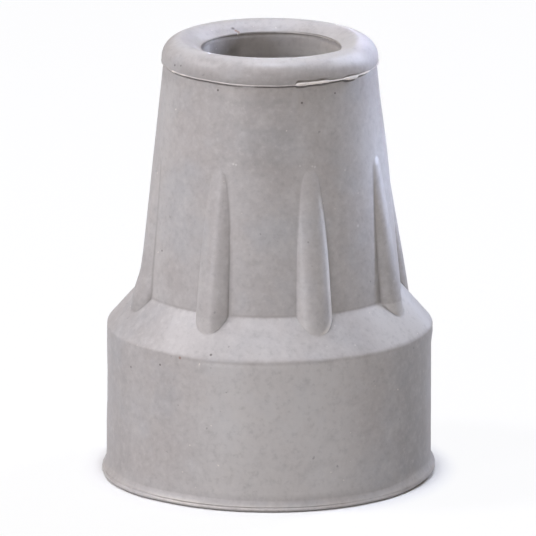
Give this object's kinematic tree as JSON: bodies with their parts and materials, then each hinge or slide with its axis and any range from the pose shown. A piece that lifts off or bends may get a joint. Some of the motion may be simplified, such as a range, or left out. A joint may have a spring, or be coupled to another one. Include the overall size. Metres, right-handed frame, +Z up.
{
  "type": "rubber cane tip",
  "caption": "One-piece moulded rubber ferrule with a broad foot, a sloping shoulder, a ribbed tapering neck and a rolled collar around a blind socket for a round shaft.",
  "frame": {"origin": "centre of the sole, where the tip stands on the ground", "axes": "+Z up along the socket's axis, out of its mouth"},
  "size_m": [0.0454, 0.0454, 0.06],
  "materials": {
    "rubber": "matte, moulded"
  },
  "bodies": {
    "root": {"rubber_tip": "rubber"}
  },
  "joints": []
}
